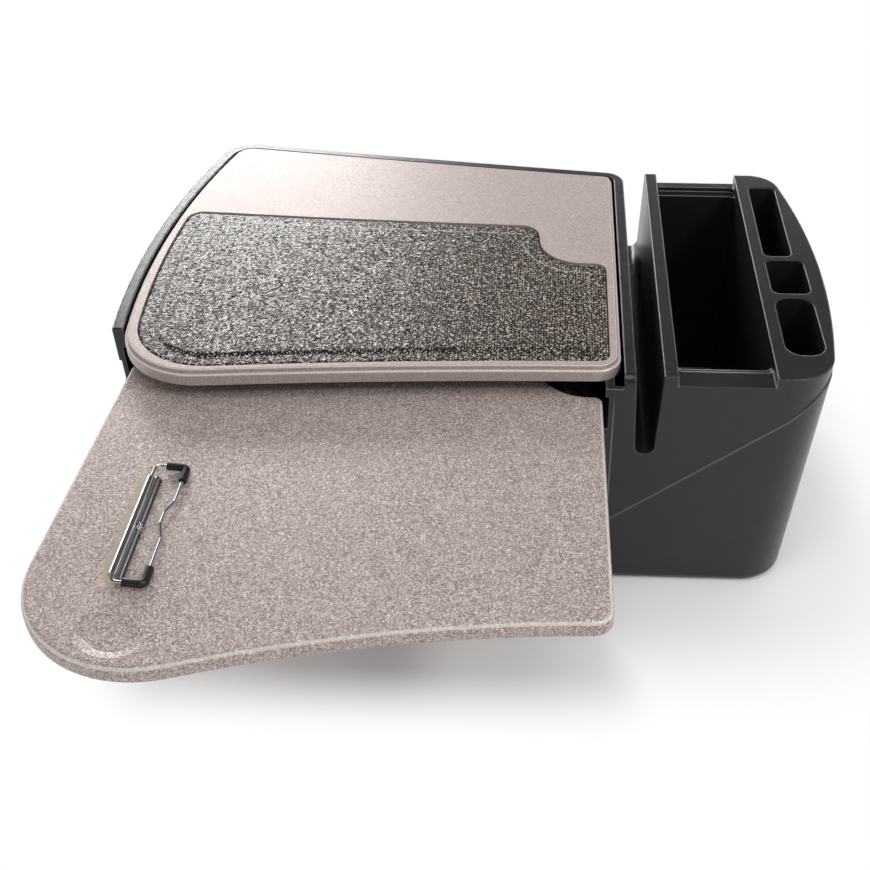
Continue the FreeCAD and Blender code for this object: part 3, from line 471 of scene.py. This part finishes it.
def wire_tube(points, radius):
    """A round wire with closed ends along points."""
    bm = bmesh.new()
    rings = []
    for before, here, after in zip([points[0], *points], points, [*points[1:], points[-1]]):
        way = (after - before).normalized()
        across = way.cross(Vector((0, 1, 0))).normalized()
        up = across.cross(way)
        turns = [2 * math.pi * k / wire_sides for k in range(wire_sides)]
        rings.append([bm.verts.new(here + (across * math.cos(a) + up * math.sin(a)) * radius) for a in turns])
    for ring, ahead in zip(rings, rings[1:]):
        for k in range(wire_sides):
            bm.faces.new([ring[k - 1], ring[k], ahead[k], ahead[k - 1]]).smooth = True
    for end in (rings[0], rings[-1]):
        bm.faces.new(end)
    bmesh.ops.recalc_face_normals(bm, faces=bm.faces)
    return bm


def clip_spring():
    """The spring round the rod, whose last half turn and leg go with the lever."""
    low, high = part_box("clip_spring")
    rod_low, rod_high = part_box("clip_hinge_rod")
    axis = (rod_low + rod_high) / 2
    middle = (low.y + high.y) / 2

    def coil_place(turn):
        """A point of the coil after so many turns, winding towards -Y from below."""
        angle = -math.pi / 2 - 2 * math.pi * turn
        along = middle + (spring_turns / 2 - turn) * spring_pitch
        return Vector((axis.x + spring_coil * math.cos(angle), along, axis.z + spring_coil * math.sin(angle)))

    split = round(spring_split_turn * coil_steps)
    places = [coil_place(k / coil_steps) for k in range(round(spring_last_turn * coil_steps) + 1)]
    coil, leg = places[:split + 1], places[split:]
    coil.insert(0, coil[0] + (coil[0] - coil[1]).normalized() * spring_plate_leg)
    leg.append(leg[-1] + (leg[-1] - leg[-2]).normalized() * spring_roll_leg)
    for name, points, body in (("clip_spring_coil", coil, "tray"), ("clip_spring_leg", leg, "clip_jaw")):
        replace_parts(piece(name, wire_tube(points, spring_wire), "chrome", body), "clip_spring")


grip_pad()
clip_spring()


# Floor, lamps and camera

def floor():
    """A pale floor, white away from the desk, that keeps the shadow of the base and the tray."""
    mesh = bpy.data.meshes.new("floor")
    corners = [(x * floor_reach, y * floor_reach, 0) for x, y in ((-1, -1), (1, -1), (1, 1), (-1, 1))]
    mesh.from_pydata(corners, [], [(0, 1, 2, 3)])
    made = show("floor", mesh)
    paint = material_paint("pale_floor")
    spot = paint.axes(paint.place())[:2]

    def away(low, high):
        """How far the floor is from the rectangle between two corners."""
        far = []
        for along, start, end in zip(spot, low, high):
            middle, half = (start + end) / 2, (end - start) / 2
            far.append((along - middle).math("ABSOLUTE").math("SUBTRACT", half).math("MAXIMUM", 0.0))
        return (far[0] * far[0] + far[1] * far[1]) ** 0.5

    tray_low, tray_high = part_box("writing_tray")
    under_tray = tray_low.xy + Vector(tray_shadow_inset), tray_high.xy
    clear = paint.step(away(*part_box("base_bottom_pan")), *shadow_reach).math(
        "MINIMUM", paint.step(away(*under_tray), *tray_shadow_reach))
    lit = paint.add("ShaderNodeBsdfDiffuse", None, {"Color": (0.90, 0.89, 0.885, 1)})
    white = paint.add("ShaderNodeEmission", None, {"Color": (1, 1, 1, 1), "Strength": 1.0})
    ray = paint.add("ShaderNodeLightPath", output="Is Camera Ray")
    shader = paint.add("ShaderNodeMixShader", None, {0: ray * clear, 1: lit, 2: white})
    paint.add("ShaderNodeOutputMaterial", None, {"Surface": shader})
    mesh.materials.append(paint.owner)


def world():
    """Pure white for the camera, even light for matt surfaces, and a sky for gloss."""
    paint = Paint(bpy.data.worlds.new("studio"))
    bpy.context.scene.world = paint.owner
    ray = {name: paint.add("ShaderNodeLightPath", output=f"Is {name} Ray")
           for name in ("Camera", "Glossy", "Transmission")}
    elevation = paint.axes(paint.add("ShaderNodeTexCoord", output="Generated"))[2]
    sky = paint.step(elevation, *sky_turn, *sky_gloss)
    bare = ray["Camera"].math("MAXIMUM", ray["Transmission"])
    level = (1 - ray["Glossy"]) * sky_light + ray["Glossy"] * sky
    level = level * (1 - bare) + bare
    light = paint.add("ShaderNodeBackground", None, {"Color": (1, 1, 1, 1), "Strength": level})
    paint.add("ShaderNodeOutputWorld", None, {"Surface": light})


def lamp(name, place, aim, width, height, radiance):
    """A soft lamp whose face has a radiance of its own."""
    light = bpy.data.lights.new(name, "AREA")
    light.shape, light.size, light.size_y = "RECTANGLE", width, height
    light.energy = radiance * math.pi * width * height
    made = show(name, light)
    made.location = place
    made.rotation_euler = (Vector(aim) - Vector(place)).to_track_quat("-Z", "Y").to_euler()


def camera():
    """The photograph's camera."""
    eye = bpy.data.cameras.new("camera")
    eye.sensor_width = sensor_width
    eye.lens = focal_length / picture_size * eye.sensor_width
    eye.shift_x, eye.shift_y = (-(view_middle[0] - picture_size / 2) / picture_size,
                                (view_middle[1] - picture_size / 2) / picture_size)
    made = show("camera", eye)
    made.location = camera_place
    made.rotation_euler = (math.radians(90 - camera_down), 0.0, math.radians(camera_left))
    bpy.context.scene.camera = made


floor()
world()
camera()
lamp("back_key", (-1.05, 2.45, 1.25), (-0.20, 0.10, 0.25), 1.2, 0.6, 15.0)
lamp("back_low", (0.45, 2.90, 0.55), (0.10, 0.0, 0.20), 3.4, 0.3, 8.0)
lamp("side_left", (-2.00, 1.50, 1.10), (-0.20, 0.0, 0.15), 0.5, 0.6, 8.0)
lamp("overhead", (0.20, -0.40, 2.20), (0.0, -0.10, 0.20), 1.2, 0.28, 8.0)
lamp("front_right", (1.10, -0.95, 1.50), (0.10, -0.15, 0.15), 0.6, 0.22, 25.0)

bpy.context.scene.view_settings.view_transform = "Standard"
